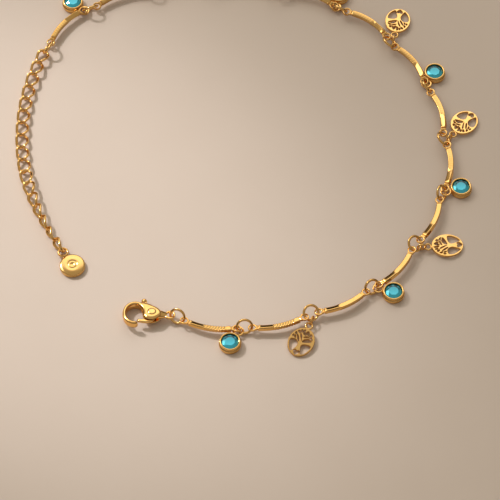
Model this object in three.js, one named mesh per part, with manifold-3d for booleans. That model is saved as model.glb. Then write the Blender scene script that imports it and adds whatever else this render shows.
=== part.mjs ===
// A charm anklet that lies open on a surface: curved bars joined by jump rings, with round
// crystals and pierced tree discs hanging from the rings in turn, a lobster clasp at one end
// and a curb extension chain with a round tag at the other. Millimetres, +Z up.
import * as THREE from 'three';
import { mergeVertices } from 'three/addons/utils/BufferGeometryUtils.js';
import { ConvexGeometry } from 'three/addons/geometries/ConvexGeometry.js';
import Module from 'manifold-3d';

const wasm = await Module();
wasm.setup();

// Running clearances
const clearance = 0.12;
const solderOverlap = 0.06;
const solderSink = 0.2;

// Bars
const barChord = 9.3;
const barSag = 0.72;
const barWidth = 1.15;
const barThickness = 0.95;
const barSteps = 5;
const grooveLength = 0.16;
const grooveDepth = 0.14;
const collarLength = 0.34;
const collarWidth = 1.3;
const collarThickness = 0.62;
const eyeRadius = 1.0;
const eyeHoleRadius = 0.66;
const eyeThickness = 0.4;
const eyeReach = 1.3;
const barRollDeg = -9;

// Jump rings between the bars
const ringRadius = 1.76;
const ringWire = 0.48;
const eyeStepShare = 0.972;

// How the two kinds of joint lie: the height of their eyes and the lean of their ring, whose
// lower side points out
const crystalJoint = { eyeHeight: 1.45, leanDeg: 30 };
const treeJoint = { eyeHeight: 1.65, leanDeg: 52 };

// The small ring that carries each tree disc
const connectorRadius = 0.95;
const connectorWire = 0.42;

// Crystals and their settings
const stoneRadius = 1.97;
const stoneTableShare = 0.58;
const stoneStarShare = 0.82;
const stoneCrownHeight = 0.42;
const stoneGirdleHeight = 0.12;
const stonePavilionDepth = 0.72;
const bezelWall = 0.38;
const bezelHeight = 1.7;
const bezelBack = 0.3;
const bezelLip = 0.16;
const bezelBevel = 0.16;
const bailRadius = 1.28;
const bailHoleRadius = 0.84;
const bailThickness = 0.3;
const bailHeight = 0.86;

// Tree discs
const treeHalfLength = 3.55;
const treeHalfWidth = 2.9;
const treeThickness = 0.6;
const treeLoopRadius = 0.74;
const treeLoopWire = 0.42;
const treeLoopHeight = 0.95;

// Extension chain
const linkPitch = 3.43;
const linkWire = 0.5;
const linkWidth = 3.2;
const linkSink = 0.24;
const linkCount = 17;
const linkTwistDeg = 42;

// Tag
const tagRadius = 2.83;
const tagThickness = 1.2;
const tagDome = 0.22;
const tagLoopRadius = 1.02;
const tagLoopWire = 0.52;
const tagLoopHeight = 0.9;

// Clasp, about the pivot of its lever
const claspThickness = 2.2;
const claspHookReach = { x: -3.75, y: -0.2 };
const claspHookSemi = { x: 2.3, y: 2.85 };
const claspHookWidth = 1.02;
const claspHookStartDeg = 48;
const claspHookEndDeg = 286;
const claspEyeReach = 4.0;
const claspEyeRadius = 1.22;
const claspEyeHoleRadius = 0.68;
const claspEyeThickness = 0.5;
const claspNeckWidth = 1.5;
const claspSlot = 0.95;
const claspBevel = 0.5;
const claspBulgeY = 0.4;
const leverThickness = 0.7;
const pinRadius = 0.36;
const knobRadius = 0.62;

// The route, chosen by hand: where the first eye lies, then one row for each bar. headingDeg
// is the way the bar's two eyes point, stepDeg the way from its far eye to the next bar.
const routeStart = { x: -14.5, y: -19.45 };
const route = [
  { headingDeg: -10, stepDeg: 3 },
  { headingDeg: 13, stepDeg: 23 },
  { headingDeg: 27, stepDeg: 33 },
  { headingDeg: 50, stepDeg: 54 },
  { headingDeg: 67, stepDeg: 67 },
  { headingDeg: 86, stepDeg: 104 },
  { headingDeg: 102, stepDeg: 113 },
  { headingDeg: 124, stepDeg: 122 },
  { headingDeg: 141, stepDeg: 150 },
  { headingDeg: 160, stepDeg: 168 },
  { headingDeg: 174, stepDeg: 180 },
  { headingDeg: 184, stepDeg: 194 },
  { headingDeg: 202, stepDeg: 202 },
  { headingDeg: 232, stepDeg: 225 },
];
const claspStepDeg = -25;
const claspHeadingDeg = -2;
const claspRollDeg = -10;

// How each charm lies, from the clasp on. swingDeg turns it from straight out. A crystal
// hangs below one of the two eyes, the side toward the clasp or the far one. A tree's small
// ring sits along the jump ring by slideDeg.
const charms = [
  { swingDeg: -34, side: -1 },
  { swingDeg: -47, slideDeg: -12 },
  { swingDeg: 37, side: 1 },
  { swingDeg: 43, slideDeg: 13 },
  { swingDeg: 38, side: 1 },
  { swingDeg: 38, slideDeg: 10 },
  { swingDeg: 33, side: 1 },
  { swingDeg: 47, slideDeg: 14 },
  { swingDeg: 20, side: 1 },
  { swingDeg: -15, slideDeg: -5 },
  { swingDeg: -18, side: -1 },
  { swingDeg: -20, slideDeg: -5 },
  { swingDeg: 28, side: 1 },
];

// The extension turns evenly from its first link to its last. Its links roll a little where
// they leave the last bar's ring, and turn on edge toward the tag.
const firstLinkHeadingDeg = -111;
const lastLinkHeadingDeg = -57;
const extensionStepDeg = 238;
const extensionSpanShare = 0.91;
const extensionRingHeight = 0.95;
const firstLinkRollDeg = [14, 10, 5];
const lastLinkRollDeg = [18, 36, 54, 70, 84, 94, 84];
const tagHeadingDeg = -57;

// The gaps of a tree disc, as shares of its half length (u, toward the loop) and half width (v)
const treeGaps = [
  { u: -0.34, v: -0.5, long: 0.3, wide: 0.25, tiltDeg: 24, points: 6 },
  { u: -0.34, v: 0.5, long: 0.3, wide: 0.25, tiltDeg: -24, points: 6 },
  { u: -0.74, v: 0, long: 0.11, wide: 0.15, tiltDeg: 0, points: 3 },
  { u: 0.2, v: -0.17, long: 0.17, wide: 0.07, tiltDeg: -14, points: 4 },
  { u: 0.2, v: 0.17, long: 0.17, wide: 0.07, tiltDeg: 14, points: 4 },
  { u: 0.12, v: -0.44, long: 0.16, wide: 0.09, tiltDeg: -52, points: 4 },
  { u: 0.12, v: 0.44, long: 0.16, wide: 0.09, tiltDeg: 52, points: 4 },
  { u: 0.04, v: -0.7, long: 0.13, wide: 0.09, tiltDeg: -70, points: 4 },
  { u: 0.04, v: 0.7, long: 0.13, wide: 0.09, tiltDeg: 70, points: 4 },
  { u: 0.53, v: 0, long: 0.17, wide: 0.09, tiltDeg: 0, points: 4 },
  { u: 0.46, v: -0.3, long: 0.15, wide: 0.08, tiltDeg: -30, points: 4 },
  { u: 0.46, v: 0.3, long: 0.15, wide: 0.08, tiltDeg: 30, points: 4 },
  { u: 0.4, v: -0.59, long: 0.13, wide: 0.09, tiltDeg: -50, points: 4 },
  { u: 0.4, v: 0.59, long: 0.13, wide: 0.09, tiltDeg: 50, points: 4 },
  { u: 0.75, v: -0.2, long: 0.1, wide: 0.09, tiltDeg: -20, points: 4 },
  { u: 0.75, v: 0.2, long: 0.1, wide: 0.09, tiltDeg: 20, points: 4 },
];

// Finishes
const gold = { color: 0xe2b552, roughness: 0.18, metalness: 1 };
const aqua = { color: 0x2fb3bf, roughness: 0.05, metalness: 0 };

// How finely round things are faceted
const wireSides = 5;
const ringSides = 12;
const linkSides = 10;
const discSides = 10;
const holeSides = 8;

// Worked out from the sizes above
const radians = Math.PI / 180;
const barRadius = (barChord * barChord / 4 + barSag * barSag) / (2 * barSag);
const eyeStep = 2 * ringRadius * eyeStepShare;
const barHalfAngle = Math.asin(barChord / 2 / barRadius);
const eyeAlong = barChord / 2 + eyeReach * Math.cos(barHalfAngle);
const eyeDrop = barSag + eyeReach * Math.sin(barHalfAngle);
const bezelRadius = stoneRadius + clearance + bezelWall;
const linkLength = linkPitch + 2 * linkWire - linkSink;
const up = new THREE.Vector3(0, 0, 1);

const anklet = new THREE.Group();
const layout = new THREE.Group();
anklet.add(layout);

function plan(angleDeg) {
  return new THREE.Vector3(Math.cos(angleDeg * radians), Math.sin(angleDeg * radians), 0);
}

// Turns a closed geometry into a solid that can be cut and joined
function solid(geometry) {
  const bare = geometry.index ? geometry.toNonIndexed() : geometry.clone();
  bare.deleteAttribute('normal');
  bare.deleteAttribute('uv');
  const merged = mergeVertices(bare, 1e-5);
  const index = merged.index.array;
  const triangles = [];
  for (let i = 0; i < index.length; i += 3) {
    const [a, b, c] = [index[i], index[i + 1], index[i + 2]];
    if (a !== b && b !== c && c !== a) triangles.push(a, b, c);
  }
  return new wasm.Manifold(new wasm.Mesh({
    numProp: 3,
    vertProperties: new Float32Array(merged.attributes.position.array),
    triVerts: new Uint32Array(triangles),
  }));
}

function join(first, ...others) {
  return others.reduce((whole, next) => whole.add(next), first);
}

function geometryOf(body) {
  const mesh = body.getMesh();
  const geometry = new THREE.BufferGeometry();
  geometry.setAttribute('position', new THREE.BufferAttribute(mesh.vertProperties.slice(), 3));
  geometry.setIndex(new THREE.BufferAttribute(mesh.triVerts.slice(), 1));
  geometry.computeVertexNormals();
  return geometry;
}

function addPiece(name, body, frame, finish, parent = layout) {
  const mesh = new THREE.Mesh(geometryOf(body), new THREE.MeshStandardMaterial(finish));
  mesh.name = name;
  mesh.applyMatrix4(frame);
  parent.add(mesh);
  return mesh;
}

// A frame at a place, with its x axis along a level heading and rolled about that axis
function frameAt(place, headingDeg, rollDeg = 0, pitchDeg = 0) {
  const turn = new THREE.Matrix4().makeRotationZ(headingDeg * radians);
  const pitch = new THREE.Matrix4().makeRotationY(pitchDeg * radians);
  const roll = new THREE.Matrix4().makeRotationX(rollDeg * radians);
  const shift = new THREE.Matrix4().makeTranslation(place.x, place.y, place.z);
  return shift.multiply(turn).multiply(pitch).multiply(roll);
}

// A closed solid through equal rings of points, with a flat cap on each end
function loft(rings) {
  const count = rings[0].length;
  const positions = [];
  const index = [];
  rings.forEach((ring) => ring.forEach((p) => positions.push(p.x, p.y, p.z)));
  for (let r = 0; r + 1 < rings.length; r += 1) {
    for (let k = 0; k < count; k += 1) {
      const next = (k + 1) % count;
      const [a, b] = [r * count + k, r * count + next];
      const [c, d] = [a + count, b + count];
      index.push(a, b, d, a, d, c);
    }
  }
  const last = (rings.length - 1) * count;
  for (let k = 1; k + 1 < count; k += 1) {
    index.push(0, k + 1, k);
    index.push(last, last + k, last + k + 1);
  }
  const geometry = new THREE.BufferGeometry();
  geometry.setAttribute('position', new THREE.Float32BufferAttribute(positions, 3));
  geometry.setIndex(index);
  return solid(geometry);
}

function box(sizeX, sizeY, sizeZ, x = 0, y = 0, z = 0) {
  return solid(new THREE.BoxGeometry(sizeX, sizeY, sizeZ).translate(x, y, z));
}

function disc(radius, height, x = 0, y = 0, z = 0, sides = discSides) {
  const geometry = new THREE.CylinderGeometry(radius, radius, height, sides);
  return solid(geometry.rotateX(Math.PI / 2).translate(x, y, z));
}

// A round wire ring about the z axis
function wireRing(radius, wire, sides = linkSides) {
  return solid(new THREE.TorusGeometry(radius, wire / 2, wireSides, sides));
}

// A flat plate of any outline about z = 0
function slab(outline, height) {
  const shape = new THREE.Shape(outline.map((p) => new THREE.Vector2(p[0], p[1])));
  const geometry = new THREE.ExtrudeGeometry(shape, { depth: height, bevelEnabled: false });
  return solid(geometry.translate(0, 0, -height / 2));
}

// A bar about the middle of the line between its eyes: x along it, y to its inner side, and
// its arc bulging to -y. Each end has a groove, a collar and an eye in the plane of the arc.
function barBody() {
  const centre = barRadius - eyeDrop;
  const rings = [];
  for (let k = 0; k <= barSteps; k += 1) {
    const angle = barHalfAngle * (2 * k / barSteps - 1);
    const out = new THREE.Vector3(Math.sin(angle), -Math.cos(angle), 0);
    const middle = out.clone().multiplyScalar(barRadius).add(new THREE.Vector3(0, centre, 0));
    rings.push([[-1, -1], [-1, 1], [1, 1], [1, -1]].map(([side, height]) => {
      const point = middle.clone().addScaledVector(out, side * barWidth / 2);
      return point.addScaledVector(up, height * barThickness / 2);
    }));
  }
  let body = loft(rings);
  for (const end of [-1, 1]) {
    const angle = end * barHalfAngle;
    const turnDeg = angle / radians;
    const neck = box(eyeReach + solderOverlap, barWidth - 2 * grooveDepth, eyeThickness,
      end * (eyeReach - solderOverlap) / 2);
    const collar = box(collarLength, collarWidth, collarThickness,
      end * (grooveLength + collarLength / 2));
    const eye = disc(eyeRadius, eyeThickness, end * eyeReach, 0, 0);
    const hole = disc(eyeHoleRadius, 2 * barThickness, end * eyeReach, 0, 0, holeSides);
    const tip = join(neck, collar, eye).subtract(hole).rotate([0, 0, turnDeg]);
    const place = [end * barChord / 2, -eyeDrop + barSag, 0];
    body = body.add(tip.translate(place));
  }
  return body;
}

// The faceted crystal, with the plane of its girdle at z = 0
function stoneBody() {
  const points = [];
  const level = (count, radius, height, turn) => {
    for (let k = 0; k < count; k += 1) {
      const angle = 2 * Math.PI * (k + turn) / count;
      points.push(new THREE.Vector3(radius * Math.cos(angle), radius * Math.sin(angle), height));
    }
  };
  level(8, stoneRadius * stoneTableShare, stoneCrownHeight, 0);
  level(8, stoneRadius * stoneStarShare, stoneCrownHeight * 0.56, 0.5);
  level(16, stoneRadius, 0, 0);
  level(16, stoneRadius, -stoneGirdleHeight, 0);
  level(8, stoneRadius * 0.5, -stoneGirdleHeight - stonePavilionDepth * 0.6, 0.5);
  level(4, stoneRadius * 0.12, -stoneGirdleHeight - stonePavilionDepth, 0);
  return solid(new ConvexGeometry(points));
}

// The setting: a round cup with a closed back and the flat bail soldered to its wall. Origin
// under the middle of the cup, bail to +x.
function settingBody() {
  const rim = bezelRadius - bezelWall;
  const profile = [
    [0, 0],
    [bezelRadius - bezelBevel, 0],
    [bezelRadius, bezelBevel],
    [bezelRadius, bezelHeight - bezelBevel],
    [bezelRadius - bezelBevel, bezelHeight],
    [rim - bezelLip, bezelHeight],
    [rim, bezelHeight - bezelLip - clearance],
    [rim, bezelBack],
    [0, bezelBack],
  ].map(([r, z]) => new THREE.Vector2(r, z));
  const cup = solid(new THREE.LatheGeometry(profile, 14).rotateX(Math.PI / 2));
  const bail = disc(bailRadius, bailThickness, settingReach(), 0, bailHeight, ringSides);
  const hole = disc(bailHoleRadius, bezelHeight, settingReach(), 0, bailHeight, ringSides);
  return cup.add(bail).subtract(hole);
}

function settingReach() {
  return bezelRadius + bailRadius - solderSink;
}

function treeReach() {
  return treeHalfLength + treeLoopRadius + treeLoopWire / 2 - solderOverlap * 2;
}

// A pierced disc with its loop to +x, about the middle of the disc
function treeBody(connector) {
  const outline = [];
  for (let k = 0; k < 16; k += 1) {
    const angle = 2 * Math.PI * k / 16;
    outline.push([treeHalfLength * Math.cos(angle), treeHalfWidth * Math.sin(angle)]);
  }
  let plate = slab(outline, treeThickness);
  for (const gap of treeGaps) {
    const [c, s] = [Math.cos(gap.tiltDeg * radians), Math.sin(gap.tiltDeg * radians)];
    const edge = [];
    for (let k = 0; k < gap.points; k += 1) {
      const angle = 2 * Math.PI * k / gap.points;
      const along = gap.long * treeHalfLength * Math.cos(angle);
      const across = gap.wide * treeHalfWidth * Math.sin(angle);
      edge.push([gap.u * treeHalfLength + along * c - across * s,
        gap.v * treeHalfWidth + along * s + across * c]);
    }
    plate = plate.subtract(slab(edge, 2 * treeThickness));
  }
  const loop = wireRing(treeLoopRadius, treeLoopWire).translate([treeReach(), 0, 0]);
  return join(plate, loop, connector);
}

// One link of the extension: a stadium of wire, twisted along its length
function linkBody() {
  const radius = (linkWidth - linkWire) / 2;
  const stretch = (linkLength - linkWire) / 2 - radius;
  const geometry = new THREE.TorusGeometry(radius, linkWire / 2, wireSides, linkSides);
  geometry.rotateZ(Math.PI / linkSides);
  const place = geometry.attributes.position;
  for (let k = 0; k < place.count; k += 1) {
    const x = place.getX(k) + Math.sign(place.getX(k)) * stretch;
    const angle = 2 * linkTwistDeg * radians * x / linkLength;
    const [y, z] = [place.getY(k), place.getZ(k)];
    place.setXYZ(k, x, y * Math.cos(angle) - z * Math.sin(angle),
      y * Math.sin(angle) + z * Math.cos(angle));
  }
  return solid(geometry);
}

// The tag: a domed disc with a flat underside and its loop to +x
function tagBody() {
  const profile = [
    [0, 0],
    [tagRadius * 0.94, 0],
    [tagRadius, tagThickness * 0.2],
    [tagRadius, tagThickness - tagDome],
    [tagRadius * 0.9, tagThickness - tagDome * 0.4],
    [tagRadius * 0.45, tagThickness],
    [0, tagThickness],
  ].map(([r, z]) => new THREE.Vector2(r, z));
  const coin = solid(new THREE.LatheGeometry(profile, 18).rotateX(Math.PI / 2));
  const loop = wireRing(tagLoopRadius, tagLoopWire).translate([tagReach(), 0, tagLoopHeight]);
  return coin.add(loop);
}

function tagReach() {
  return tagRadius + tagLoopRadius + tagLoopWire / 2 - solderOverlap * 2;
}

// The hook of the clasp: a wire of oval section along an arc of an ellipse
function hookBody() {
  const rings = [];
  const steps = 14;
  for (let k = 0; k <= steps; k += 1) {
    const angle = (claspHookStartDeg + (claspHookEndDeg - claspHookStartDeg) * k / steps) * radians;
    const middle = new THREE.Vector3(
      claspHookReach.x + claspHookSemi.x * Math.cos(angle),
      claspHookReach.y + claspHookSemi.y * Math.sin(angle), 0);
    const out = new THREE.Vector3(
      claspHookSemi.y * Math.cos(angle), claspHookSemi.x * Math.sin(angle), 0).normalize();
    const thin = k === steps ? 0.6 : 1;
    const ring = [];
    for (let s = 0; s < 8; s += 1) {
      const turn = -2 * Math.PI * (s + 0.5) / 8;
      ring.push(middle.clone()
        .addScaledVector(out, thin * claspHookWidth / 2 * Math.cos(turn) / Math.cos(Math.PI / 8))
        .addScaledVector(up, thin * claspThickness / 2 * Math.sin(turn) * 0.92));
    }
    rings.push(ring);
  }
  return loft(rings);
}

// The clasp's body about the lever's pivot, with its eye to +x
function claspBody() {
  const outline = [
    [-1.7, -0.9], [0.1, -1.9], [1.4, -1.3], [2.4, -0.75], [2.4, 0.65], [1.6, 1.4],
    [0, 2.3], [-1.7, 2.75], [-2.2, 2.2],
  ];
  const level = (share, z) => outline.map(([x, y]) => new THREE.Vector3(share * x,
    share * (y - claspBulgeY) + claspBulgeY, z));
  const half = claspThickness / 2;
  const pear = loft([level(0.72, -half), level(1, -half + claspBevel),
    level(1, half - claspBevel), level(0.72, half)]);
  const neckLength = claspEyeReach - 2;
  const neck = box(neckLength, claspNeckWidth, claspEyeThickness, 2 + neckLength / 2);
  const eye = disc(claspEyeRadius, claspEyeThickness, claspEyeReach);
  const hole = disc(claspEyeHoleRadius, claspThickness, claspEyeReach, 0, 0, holeSides);
  const slot = slab([
    [-1.95, 4.4], [-2.0, 0], [-2.0, -3.2], [1.8, -3.2], [1.8, -0.7], [1.3, 1.0], [1.7, 4.4],
  ], claspSlot);
  const pin = disc(pinRadius, claspSlot + 2 * solderOverlap, 0, 0, 0, 10);
  return join(hookBody(), pear, neck, eye).subtract(hole).subtract(slot).add(pin);
}

// The lever: an arm that closes the hook, a pierced boss on the pin and a stem with a knob
function leverBody() {
  const arm = slab([
    [-3.25, -2.1], [-2.3, -2.25], [-0.9, -2.6], [0.9, -1.75], [1.15, -0.9], [0.3, 0.5],
    [-0.55, 0.5], [-0.75, -1.2], [-1.9, -1.6], [-3.15, -1.65],
  ], leverThickness);
  const boss = disc(pinRadius + 0.45, leverThickness, 0, 0, 0, 12);
  const stem = slab([[-0.5, 0.2], [0.3, 0.35], [-1.1, 3.2], [-1.75, 3.1]], leverThickness);
  const knob = solid(new THREE.SphereGeometry(knobRadius, 10, 7).translate(-1.45, 3.35, 0));
  const bore = disc(pinRadius + clearance, claspThickness, 0, 0, 0, 12);
  return join(arm, boss, stem, knob).subtract(bore);
}

// The jump ring whose wire runs through two eye centres. It leans leanDeg from upright, with
// its lower side out.
function ringThrough(first, second, leanDeg) {
  const along = second.clone().sub(first);
  const half = along.length() / 2;
  along.normalize();
  const out = new THREE.Vector3().crossVectors(along, up).normalize();
  const lean = leanDeg * radians;
  const rise = new THREE.Vector3().crossVectors(out, along).multiplyScalar(Math.cos(lean));
  rise.addScaledVector(out, -Math.sin(lean));
  const middle = first.clone().add(second).multiplyScalar(0.5);
  middle.addScaledVector(rise, Math.sqrt(ringRadius * ringRadius - half * half));
  const normal = new THREE.Vector3().crossVectors(along, rise);
  const frame = new THREE.Matrix4().makeBasis(along, rise, normal).setPosition(middle);
  return { frame, middle, along, rise, out };
}

function pointOnRing(ring, sine, side) {
  return ring.middle.clone()
    .addScaledVector(ring.along, side * ringRadius * Math.sqrt(1 - sine * sine))
    .addScaledVector(ring.rise, ringRadius * sine);
}

function swungOut(ring, charm) {
  const away = ring.out.clone().applyAxisAngle(up, charm.swingDeg * radians);
  return { away, headingDeg: Math.atan2(away.y, away.x) / radians };
}

// A crystal lies flat, its bail about the point where the ring's wire comes down through it
function addCrystal(number, ring, charm) {
  const { away, headingDeg } = swungOut(ring, charm);
  const sine = (bailHeight - ring.middle.z) / (ringRadius * ring.rise.z);
  const foot = pointOnRing(ring, sine, charm.side).addScaledVector(away, settingReach());
  foot.z = 0;
  const frame = frameAt(foot, headingDeg + 180);
  addPiece(`crystal_setting_${number}`, settingBody(), frame, gold);
  const seat = new THREE.Matrix4().makeTranslation(0, 0, bezelHeight - bezelLip - 2 * clearance);
  addPiece(`crystal_stone_${number}`, stoneBody(), frame.clone().multiply(seat), aqua);
}

// A tree disc leans from its loop down to its far rim. Its small ring stands on edge about
// the jump ring's outer wire and is soldered to the loop.
function addTree(number, ring, charm) {
  const { away, headingDeg } = swungOut(ring, charm);
  const slide = charm.slideDeg * radians;
  const wire = pointOnRing(ring, -Math.cos(slide), Math.sign(slide));
  const centre = wire.clone();
  centre.z = connectorRadius + connectorWire / 2 + 0.03;
  const hold = connectorRadius - (ringWire + connectorWire) / 2 - clearance;
  centre.addScaledVector(away, Math.sqrt(Math.max(0, hold ** 2 - (centre.z - wire.z) ** 2)));
  const seat = connectorRadius - (treeLoopWire + connectorWire) / 2 + solderSink;
  const near = Math.sqrt(seat ** 2 - (centre.z - treeLoopHeight) ** 2);
  const drop = treeLoopHeight - treeThickness / 2 - 0.05;
  const pitch = Math.asin(drop / (treeReach() + treeHalfLength));
  const middle = centre.clone();
  middle.addScaledVector(away, near + treeLoopRadius + treeReach() * Math.cos(pitch));
  middle.z = treeLoopHeight - treeReach() * Math.sin(pitch);
  const frame = frameAt(middle, headingDeg + 180, 0, -pitch / radians);
  const local = frame.clone().invert().multiply(frameAt(centre, headingDeg, 90));
  const hoop = new THREE.TorusGeometry(connectorRadius, connectorWire / 2, wireSides, linkSides);
  addPiece(`tree_charm_${number}`, treeBody(solid(hoop.applyMatrix4(local))), frame, gold);
}

// Walks the route and sets down bars, jump rings and charms. Crystals and trees take turns.
function addChain() {
  let eye = new THREE.Vector3(routeStart.x, routeStart.y, crystalJoint.eyeHeight);
  route.forEach((row, k) => {
    const joint = k % 2 === 0 ? crystalJoint : treeJoint;
    const farEye = eye.clone().addScaledVector(plan(row.headingDeg), 2 * eyeAlong);
    farEye.z = k + 1 < route.length ? joint.eyeHeight : crystalJoint.eyeHeight;
    const middle = eye.clone().add(farEye).multiplyScalar(0.5);
    const pitchDeg = -Math.atan2(farEye.z - eye.z, 2 * eyeAlong) / radians;
    const frame = frameAt(middle, row.headingDeg, barRollDeg, pitchDeg);
    addPiece(`bar_${k + 1}`, barBody(), frame, gold);
    if (k === 0) addClasp(eye);
    if (k + 1 < route.length) {
      const nextEye = farEye.clone().addScaledVector(plan(row.stepDeg), eyeStep);
      const ring = ringThrough(farEye, nextEye, joint.leanDeg);
      addPiece(`jump_ring_${k + 1}`, wireRing(ringRadius, ringWire, ringSides), ring.frame, gold);
      if (joint === crystalJoint) addCrystal((k + 2) / 2, ring, charms[k]);
      else addTree((k + 1) / 2, ring, charms[k]);
      eye = nextEye;
    } else {
      addExtension(farEye);
    }
  });
}

function addClasp(firstEye) {
  const claspEye = firstEye.clone().addScaledVector(plan(claspStepDeg), -eyeStep);
  const ring = ringThrough(claspEye, firstEye, crystalJoint.leanDeg);
  addPiece('clasp_ring', wireRing(ringRadius, ringWire, ringSides), ring.frame, gold);
  const pivot = claspEye.clone().addScaledVector(plan(claspHeadingDeg), -claspEyeReach);
  const frame = frameAt(pivot, claspHeadingDeg, claspRollDeg);
  addPiece('clasp_body', claspBody(), frame, gold);
  addPiece('clasp_lever', leverBody(), frame, gold);
}

// The extension: a ring on the last bar's eye, links walked on by their pitch and fused into
// one chain, then the tag on the last link
function addExtension(lastEye) {
  const span = 2 * ringRadius * extensionSpanShare;
  const farSide = lastEye.clone().addScaledVector(plan(extensionStepDeg), span);
  farSide.z = extensionRingHeight;
  const ring = ringThrough(lastEye, farSide, crystalJoint.leanDeg);
  addPiece('extension_ring', wireRing(ringRadius, ringWire, ringSides), ring.frame, gold);
  const back = (ringWire + linkWire) / 2 + 2 * clearance;
  const start = farSide.clone().addScaledVector(ring.along, -back);
  const link = linkBody();
  const half = (linkLength - linkWire) / 2;
  const last = linkCount - 1;
  const tip = start.clone();
  let chain = null;
  for (let k = 0; k <= last; k += 1) {
    const turn = (lastLinkHeadingDeg - firstLinkHeadingDeg) * k / last;
    const headingDeg = firstLinkHeadingDeg + turn;
    const fromLast = lastLinkRollDeg.length - 1 - (last - k);
    const rollDeg = firstLinkRollDeg[k] ?? lastLinkRollDeg[fromLast] ?? 0;
    const middle = tip.clone().addScaledVector(plan(headingDeg), half);
    middle.z = linkRest(rollDeg);
    let pitchDeg = 0;
    if (k === 0) {
      middle.z = (start.z + middle.z) / 2;
      pitchDeg = Math.asin((start.z - middle.z) / half) / radians;
    }
    const placed = link.transform(frameAt(middle, headingDeg, rollDeg, pitchDeg).elements);
    chain = chain ? chain.add(placed) : placed;
    tip.copy(middle).addScaledVector(plan(headingDeg), k === last ? half : linkPitch - half);
  }
  addPiece('extension_chain', chain, new THREE.Matrix4(), gold);
  const bend = (linkWidth - linkWire) / 2;
  const below = tip.z - tagLoopHeight;
  const beyond = Math.sqrt(bend ** 2 - below ** 2) - bend + tagReach();
  const foot = tip.addScaledVector(plan(tagHeadingDeg), beyond);
  foot.z = 0;
  addPiece('tag', tagBody(), frameAt(foot, tagHeadingDeg + 180), gold);
}

// The height of a link's middle when its lowest wire rests on the surface
function linkRest(rollDeg) {
  const steepest = Math.min(90, linkTwistDeg / 2 + rollDeg);
  return linkWire / 2 + 0.04 + (linkWidth - linkWire) / 2 * Math.sin(steepest * radians);
}

// Sets the whole anklet down with the middle of its outline over the origin
function centreOnOrigin() {
  const bounds = new THREE.Box3().setFromObject(layout, true);
  const middle = bounds.getCenter(new THREE.Vector3());
  layout.position.set(-middle.x, -middle.y, -bounds.min.z);
  anklet.updateMatrixWorld(true);
}

addChain();
centreOnOrigin();

export default anklet;
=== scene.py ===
import math

import bmesh
import bpy
import numpy as np
from mathutils import Matrix


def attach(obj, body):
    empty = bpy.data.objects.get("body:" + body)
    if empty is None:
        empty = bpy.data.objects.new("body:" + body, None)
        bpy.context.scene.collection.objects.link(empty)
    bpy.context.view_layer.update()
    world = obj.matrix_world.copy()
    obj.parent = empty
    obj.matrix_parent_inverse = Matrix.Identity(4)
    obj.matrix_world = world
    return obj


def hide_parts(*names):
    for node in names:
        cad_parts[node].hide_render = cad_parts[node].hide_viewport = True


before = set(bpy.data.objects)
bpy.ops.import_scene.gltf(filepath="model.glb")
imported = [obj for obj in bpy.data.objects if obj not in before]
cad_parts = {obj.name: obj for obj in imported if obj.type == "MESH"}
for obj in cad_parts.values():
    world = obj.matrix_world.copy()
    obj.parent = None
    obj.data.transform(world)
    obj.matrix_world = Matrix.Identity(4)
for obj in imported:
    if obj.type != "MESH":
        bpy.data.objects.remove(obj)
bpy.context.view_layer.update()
print("frame loaded")

mm = 0.001
up = np.array([0.0, 0.0, 1.0])

# The lay of the anklet in mm, the same walk as the solids: headings in degrees
lay = {
    "shift": (0.70, -27.21),
    "start": (-14.5, -19.45),
    "barHeading": (-10, 13, 27, 50, 67, 86, 102, 124, 141, 160, 174, 184, 202, 232),
    "stepHeading": (3, 23, 33, 54, 67, 104, 113, 122, 150, 168, 180, 194, 202, 225),
    "barRoll": -9,
    "crystalEye": 1.45, "crystalLean": 30,
    "treeEye": 1.65, "treeLean": 52,
    "claspStep": -25, "claspHeading": -2, "claspRoll": -10,
    "extensionStep": 238, "extensionEye": 0.95, "extensionShare": 0.91,
    "swing": (-34, -47, 37, 43, 38, 38, 33, 47, 20, -15, -18, -20, 28),
    "slide": (-1, -12, 1, 13, 1, 10, 1, 14, 1, -5, -1, -5, 1),
    "clearance": 0.12,
}


# Rotation and place: x along a level heading, then pitched and rolled about it
def frameAt(place, heading, roll=0.0, pitch=0.0):
    h, p, r = np.radians([heading, pitch, roll])
    turn = np.array([[np.cos(h), -np.sin(h), 0], [np.sin(h), np.cos(h), 0], [0, 0, 1]])
    tip = np.array([[np.cos(p), 0, np.sin(p)], [0, 1, 0], [-np.sin(p), 0, np.cos(p)]])
    roller = np.array([[1, 0, 0], [0, np.cos(r), -np.sin(r)], [0, np.sin(r), np.cos(r)]])
    return turn @ tip @ roller, np.array(place, float)


def planDirection(heading):
    return np.array([math.cos(math.radians(heading)), math.sin(math.radians(heading)), 0.0])


# A part is (points, faces of four, faces of three, uv of each point), all in mm
def placed(part, where):
    turn, place = where
    return part[0] @ turn.T + place, part[1], part[2], part[3]


def shifted(part, x, y=0, z=0):
    return placed(part, (np.eye(3), np.array([x, y, z])))


# Turned inside out
def flipped(part):
    return part[0], part[1][:, ::-1], part[2][:, ::-1], part[3]


def together(*parts):
    points, fours, threes, uvs, count = [], [], [], [], 0
    for part in parts:
        points.append(part[0])
        fours.append(part[1] + count)
        threes.append(part[2] + count)
        uvs.append(part[3])
        count += len(part[0])
    return np.vstack(points), np.vstack(fours), np.vstack(threes), np.vstack(uvs)


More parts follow.
